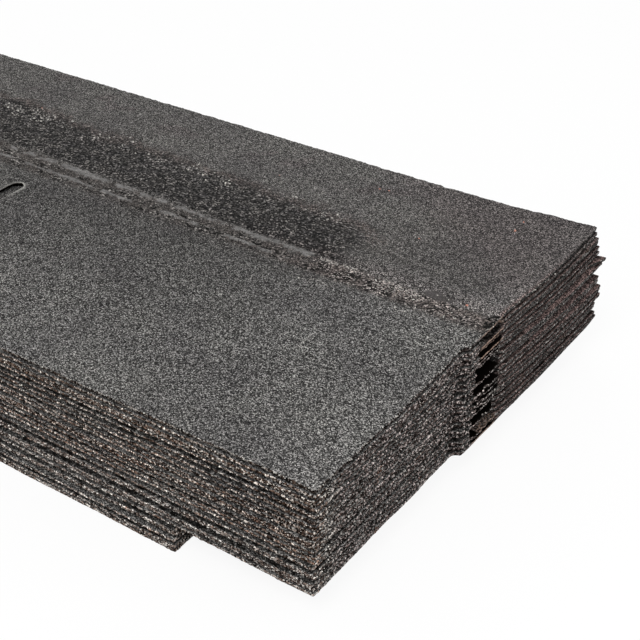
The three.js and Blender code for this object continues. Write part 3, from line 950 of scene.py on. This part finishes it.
        # a painted highlight on the arris round the top sheet's slots, stronger on one side
        rim_highlight = slot * (STRAIGHT_RIM_HIGHLIGHT + (1 - STRAIGHT_RIM_HIGHLIGHT) * smooth_step(*SLOT_ROUND, from_butt))
        rim_highlight = rim_highlight * np.clip(RIM_HIGHLIGHT_BY_SIDE[0] - RIM_HIGHLIGHT_BY_SIDE[1] * outward[:, 0], 0, 1)
        marks["rim_highlight"][arris], marks["rim_highlight"][face] = rim_highlight, RIM_HIGHLIGHT_BEHIND_ARRIS * rim_highlight
        rear_shade = TOP_EDGE_SHADE[1] * noise("top rear", *plan.T)
        marks["shade"][edge] += np.tile(np.where(at_end & (from_butt > REAR_START), rear_shade, 0), ARRIS + 1)
    else:
        # painted shade on the face just inside the edge, where the next sheet lies on it
        least = np.where(from_butt > REAR_START, REAR_UNDER_SHADE, END_UNDER_SHADE) * at_end
        dark = np.maximum(coming * line_shade(air_above), least)
        dark = np.maximum(dark, REAR_UNDER_SHADE * crumbly)
        marks["under_shade"][face] = inside(rings[-1], lines[index + 1]) * dark
    piece = make_piece(f"granular_{name}", np.concatenate(vertices), np.concatenate(faces), marks,
                       MATERIALS, np.concatenate(indices))
    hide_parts(name)
    return rings[ARRIS]


lines, surfaces = {}, {}
for index in range(1, SHEET_COUNT + 1):
    solid = cad_mesh(cad_name(index))
    lines[index] = rim(*solid)
    surfaces[index] = Surface(cad_name(index), *solid)

# the air under and over each sheet, from the heights of the undersides along the butt edges
butt_levels = [-SHEET_THICKNESS] + [
    np.median(line[line[:, 1] < line[:, 1].min() + LEVEL_BAND][:, 2]) for line in lines.values()]
airs = np.append(np.diff(butt_levels) - SHEET_THICKNESS, 0)
arrises = {index: shingle(index, airs[index - 1], airs[index]) for index in range(1, SHEET_COUNT + 1)}


def top_height(x, y):
    """Height of the top sheet's upper face, without its lane."""
    return surfaces[SHEET_COUNT].height(x, y) + SHEET_THICKNESS - FACE_DRAW_IN


# ---------- sealant smears

# each bead: how far its middle lies from the butt edge, how wide it was smeared, how it leans, and
# where along the strip it holds, in distances from the right end
BACK_BEAD = (171.7 * MM, 2.6 * MM, BEAD_LEAN, [
    (118, 186), (190, 233), (237, 285), (289, 334), (337, 368), (373, 480), (484, 640), (645, 1000),
])
FRONT_BEAD = (163.4 * MM, 1.9 * MM, 0.4 * BEAD_LEAN, [
    (125, 139), (145, 184), (203, 237), (252, 287), (290, 357), (367, 400), (418, 530), (545, 700),
    (725, 810), (835, 985),
])
FRONT_BEAD_SHARE = 0.96
LEAN_LIMIT = 420 * MM
# how far a bead sways, and over what length; how ragged it is, how far that is drawn out, and size
SMEAR_SWAYS = [mm(1.4, 55), mm(0.8, 13)]
SMEAR_RAGS = [(1.0, 0.4, 3 * MM), (1.3, 0.6, 1.3 * MM)]
SMEAR_WIDENING = 26 * MM
SMEAR_GAPS = 17 * MM
# the smears' body: how far it stops from both ends, from and to where it reaches, and its heights
SMEAR_ENDS = mm(2, 60)
SMEAR_BAND = mm(158, 187)
SMEAR_STEP = mm(1.5, 0.65)
SMEAR_CROWN, SMEAR_FOOT, SMEAR_BED, SMEAR_DRAG = mm(0.12, 0.7, 1.6, 0.25)
SMEAR_SHOWN = (0.32, 0.75)


def smeared(bead, x, y, seed):
    """How much of a bead is left at a place: above a half it shows."""
    middle, width, lean, runs = bead
    from_end = END_X - x
    sway = lean * np.minimum(from_end, LEAN_LIMIT)
    for k, (reach, size) in enumerate(SMEAR_SWAYS):
        sway = sway + reach * (soft_noise(x, x * 0, size, seed + k) - 0.5)
    width = width * (0.75 + 0.6 * soft_noise(x, x * 0, SMEAR_WIDENING, seed + 2))
    held = np.zeros_like(x)
    for start, stop in runs:
        entered = smooth_step(*mm(start - 2, start + 3), from_end)
        held = np.maximum(held, entered * smooth_step(*mm(stop + 2, stop - 3), from_end))
    across = np.abs(y - BUTT_Y - middle - sway)
    ragged = sum(strength * (soft_noise(x * drawn, y, size, seed + 3 + k) - 0.5)
                 for k, (strength, drawn, size) in enumerate(SMEAR_RAGS))
    gone = smooth_step(0.62, 0.80, soft_noise(x, y * 2, SMEAR_GAPS, seed + 5))
    return np.clip(1.4 - across / width + ragged - 0.9 * gone, 0, 1) * held


def smears():
    """Both beads as one body, which comes up through the lane's floor where sealant is left."""
    x = np.arange(top_low.x + SMEAR_ENDS[0], END_X - SMEAR_ENDS[1], SMEAR_STEP[0])
    y = np.arange(BUTT_Y + SMEAR_BAND[0], BUTT_Y + SMEAR_BAND[1], SMEAR_STEP[1])
    gx, gy = np.meshgrid(x, y)
    left = np.maximum(smeared(BACK_BEAD, gx, gy, 61), smeared(FRONT_BEAD, gx, gy, 71) * FRONT_BEAD_SHARE)
    floor = top_height(gx, gy)
    rise = smooth_step(*SMEAR_SHOWN, left)
    drag = SMEAR_DRAG * (soft_noise(gx * 0.3, gy, 1.3 * MM, 81) - 0.5)
    top = floor - LANE_RECESS - SMEAR_FOOT + (LANE_RECESS + SMEAR_FOOT + SMEAR_CROWN - FACE_DRAW_IN) * rise
    top = top + drag * rise
    grid_body("sealant_smears", gx, gy, top, floor - SMEAR_BED, SEALANT, {"left": left})


def grid_body(name, gx, gy, top, bottom, material, readings):
    """A closed body between two heights over a grid."""
    corners = np.concatenate([np.stack([gx, gy, z], axis=-1).reshape(-1, 3) for z in (top, bottom)])
    number = np.arange(gx.size).reshape(gx.shape)
    around = number[:-1, :-1], number[:-1, 1:], number[1:, 1:], number[1:, :-1]
    over = band(*(numbers.reshape(-1) for numbers in around))
    border = np.concatenate([number[0], number[1:, -1], number[-1, -2::-1], number[-2:0:-1, 0]])
    beside = np.roll(border, -1)
    wall = band(border, border + gx.size, beside + gx.size, beside)
    attributes = {key: np.tile(values.reshape(-1), 2) for key, values in readings.items()}
    triangles = np.concatenate([over, over[:, ::-1] + gx.size, wall])
    make_piece(name, corners, triangles, attributes, [material])


smears()


def felt(index):
    """The thin felt that still sticks out where a sheet's lane has broken away at the right end."""
    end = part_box(cad_name(index))[1].x
    y = BUTT_Y + np.arange(*FELT_RUN, SHOWN_EDGE_STEP)
    ragged = noise("felt", y, index=index)
    tip = end - FELT_TIP[0] - FELT_TIP[1] * ragged
    reach = np.array(FELT_ROWS)
    gx = end - FELT_ROOT + (tip[:, None] - end + FELT_ROOT) * reach
    gy = np.repeat(y[:, None], len(reach), axis=1)
    under = surfaces[index].height(gx, gy) + FELT_SAG * (ragged[:, None] - 0.5)
    readings = {key: np.zeros_like(gx) for key in ("shade", "foot", "deep", "ledge_highlight")}
    readings["bare"] = np.full_like(gx, FELT_BARENESS)
    readings["level"] = np.tile((reach == 1.0) * FELT_TIP_LEVEL, (len(y), 1))
    grid_body(f"felt_{index:02d}", gx, gy, under + FELT_LEVELS[1], under + FELT_LEVELS[0],
              MATERIALS[EDGE], readings)


for index in FELT_SHEETS:
    felt(index)


# ---------- granules that stand proud

# an octahedron, each corner moved by chance, is stone enough at a millimetre
STONE_POINTS = np.array([[1, 0, 0], [0, 1, 0], [-1, 0, 0], [0, -1, 0], [0, 0, 1], [0, 0, -1]], float)
STONE_SIDES = [(0, 1), (1, 2), (2, 3), (3, 0)]
STONE_FACES = np.array([(a, b, 4) for a, b in STONE_SIDES] + [(b, a, 5) for a, b in STONE_SIDES])

# where pale granules lie close: how many, from and to where in mm from the right end and from the
# butt edge, and a seed
PALE_PATCHES = [
    (120, 105, 10, 160, 178, 307), (70, 120, 93, 173.5, 178, 311), (120, 80, 48, 166, 177, 314),
    (60, 42, 12, 179, 191, 312), (34, 270, 220, 151.5, 154.5, 315), (26, 185, 167, 149, 154, 316),
    (50, 122, 92, 147, 154, 317), (24, 55, 30, 151, 154, 318), (40, 2.5, 0.5, 150, 250, 319),
]

# the largest pale granules: distance from the right end and from the butt edge, in mm
PALE_STONES = [
    (381, 231), (243, 223), (263, 229.5), (202, 239), (384, 245), (264, 243), (331, 248), (145, 234.5),
    (246, 237), (146, 224), (301, 233), (352, 239), (470, 238), (556, 244), (690, 232),
]

# the few granules of another colour: distance from the right end, from the butt, and radius, in mm
COLOURED = [
    (145, 286, 1.0), (139, 287.6, 0.95), (45, 284.4, 1.2), (46, 298.5, 1.1), (23, 179.7, 1.3),
    (87.4, 237.6, 0.75), (210, 262, 0.6), (420, 250, 0.7), (610, 276, 0.9), (760, 233, 0.8), (880, 292, 0.9),
]

# split granules on the arrises: how close to butt and end, the share of the points that carries
# one, and their darkest tone, on the top sheet and on the others
SPLIT_BANDS = mm(6, 22)
SPLIT_ON_TOP = (0.36, 0.6)
SPLIT_BELOW = (0.13, 0.35)
SPLIT_SINK, STONE_MARGIN = mm(0.15, 1)


def stones(name, places, radii, tones, material, seed):
    """Small broken stones at the given places, each turned and shaped by chance."""
    random = np.random.default_rng(seed)
    count = len(places)
    shape = STONE_POINTS[None] * random.uniform(0.65, 1.25, (count, 6, 1))
    shape += random.uniform(-0.25, 0.25, (count, 6, 3))
    turn = random.uniform(0, 2 * math.pi, (count, 1))
    tip = random.uniform(-0.7, 0.7, (count, 1))
    x, y, z = shape[..., 0], shape[..., 1], shape[..., 2]
    y, z = y * np.cos(tip) - z * np.sin(tip), y * np.sin(tip) + z * np.cos(tip)
    c, s = np.cos(turn), np.sin(turn)
    shape = np.stack([x * c - y * s, x * s + y * c, z * 0.8], axis=-1)
    corners = places[:, None] + shape * radii[:, None, None]
    faces = STONE_FACES[None] + 6 * np.arange(count)[:, None, None]
    make_piece(name, corners.reshape(-1, 3), faces.reshape(-1, 3), {"tone": np.repeat(tones, 6)}, [material])


def on_top(x, y):
    """Places on the granule face of the top sheet."""
    return np.column_stack([x, y, top_height(x, y) - LANE_RECESS * in_lane(x, y)])


def scatter(count, far_end, near_end, front, back, seed):
    """Random plan places on the top sheet, from distances in mm from its right end and butt."""
    random = np.random.default_rng(seed)
    x = END_X - random.uniform(near_end, far_end, count) * MM
    y = BUTT_Y + random.uniform(front, back, count) * MM
    return x, y


def proud_stones():
    random = np.random.default_rng(301)
    places, radii, tones = [], [], []

    def add(at, radius, darkest, palest=1.0, power=1.0):
        places.append(at)
        radii.append(radius * MM * random.uniform(0.75, 1.3, len(at)))
        tones.append(random.uniform(darkest, palest, len(at)) ** power)

    # pale granules left along the back of the stain, and in clumps in front of the beads
    x, y = scatter(2600, 1000, 118, 222, 241, 302)
    y = y + 5 * MM * smooth_step(*mm(150, 340), END_X - x)
    clumps = soft_noise(x, y, 8 * MM, 303) * soft_noise(x, y, 26 * MM, 313) > 0.30
    add(on_top(x, y)[clumps], 0.68, 0.40, power=1.2)
    x, y = np.array(PALE_STONES).T * MM
    add(on_top(END_X - x, BUTT_Y + y), 1.1, 0.75)
    add(on_top(*scatter(70, 1000, 90, 190, 226, 304)), 0.50, 0.4, 0.9)
    x, y = scatter(420, 420, 4, 148, 163, 305)
    add(on_top(x, y)[soft_noise(x, y, 26 * MM, 306) > 0.5], 0.42, 0.5, 0.95)
    for patch in PALE_PATCHES:
        add(on_top(*scatter(*patch)), 0.46, 0.4)
    add(on_top(*scatter(900, 990, 6, 6, 150, 308)), 0.36, 0.3, 0.8)

    # split granules along the arrises of every sheet, at its butt and at its right end
    for index, arris in arrises.items():
        low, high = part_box(cad_name(index))
        share, darkest = SPLIT_ON_TOP if index == SHEET_COUNT else SPLIT_BELOW
        shown = arris[(arris[:, 1] < low.y + SPLIT_BANDS[0]) | (arris[:, 0] > high.x - SPLIT_BANDS[1])]
        shown = shown[shown[:, 1] < low.y + REAR_START]
        picked = shown[random.random(len(shown)) < share]
        add(picked - np.array([0, 0, SPLIT_SINK]), 0.52, darkest)
    low, high = (np.array(corner) for corner in cad_box)
    at = np.clip(np.concatenate(places), low + STONE_MARGIN, high - STONE_MARGIN)
    stones("proud_granules", at, np.concatenate(radii), np.concatenate(tones), PROUD, 309)


def coloured_stones():
    from_end, from_butt, radii = np.array(COLOURED).T * MM
    at = on_top(END_X - from_end, BUTT_Y + from_butt)
    stones("rust_granules", at, radii, np.ones(len(at)), RUST, 310)


proud_stones()
coloured_stones()


# ---------- studio

def whitened(g, share, plain, white, output):
    """Gives an output the plain shader, and the white one to the given share."""
    white = g.node(white, {"Color": (1, 1, 1, 1), "Strength": 1.0})
    mix = g.node("ShaderNodeMixShader", {0: share, 1: plain[0], 2: white[0]})
    g.node(output, {0: mix[0]})


def white_floor():
    """A pale floor.  Seen by the camera it is mostly plain white, and it keeps a faint shadow."""
    g = new_material("white_floor")
    plain = g.node("ShaderNodeBsdfDiffuse", {"Color": (FLOOR_GREY, FLOOR_GREY, FLOOR_GREY, 1)})
    whitened(g, g.mul(g.seen(), FLOOR_WHITENESS), plain, "ShaderNodeEmission", "ShaderNodeOutputMaterial")
    return g.owner


def studio():
    bpy.ops.mesh.primitive_plane_add(size=FLOOR_SIZE, location=(0, 0, -FLOOR_DROP))
    floor = bpy.context.object
    floor.name = "floor"
    floor.data.materials.append(white_floor())

    world = bpy.data.worlds.new("studio")
    bpy.context.scene.world = world
    g = Graph(world)
    fill = g.node("ShaderNodeBackground", {"Color": (1, 1, 1, 1), "Strength": WORLD_LIGHT})
    whitened(g, g.seen(), fill, "ShaderNodeBackground", "ShaderNodeOutputWorld")

    for name, place, width, power in LAMPS:
        data = bpy.data.lights.new(name, "AREA")
        data.size = width
        data.energy = power
        lamp = placed(name, data)
        lamp.location = place
        lamp.rotation_euler = (-Vector(place)).to_track_quat("-Z", "Y").to_euler()


def camera():
    data = bpy.data.cameras.new("camera")
    for key, value in CAMERA_LENS.items():
        setattr(data, key, value)
    made = bpy.context.scene.camera = placed("camera", data)
    made.location = CAMERA_PLACE
    made.rotation_euler = (math.pi / 2 - CAMERA_PITCH, 0, CAMERA_YAW)


studio()
camera()
bpy.context.scene.view_settings.view_transform = "Standard"
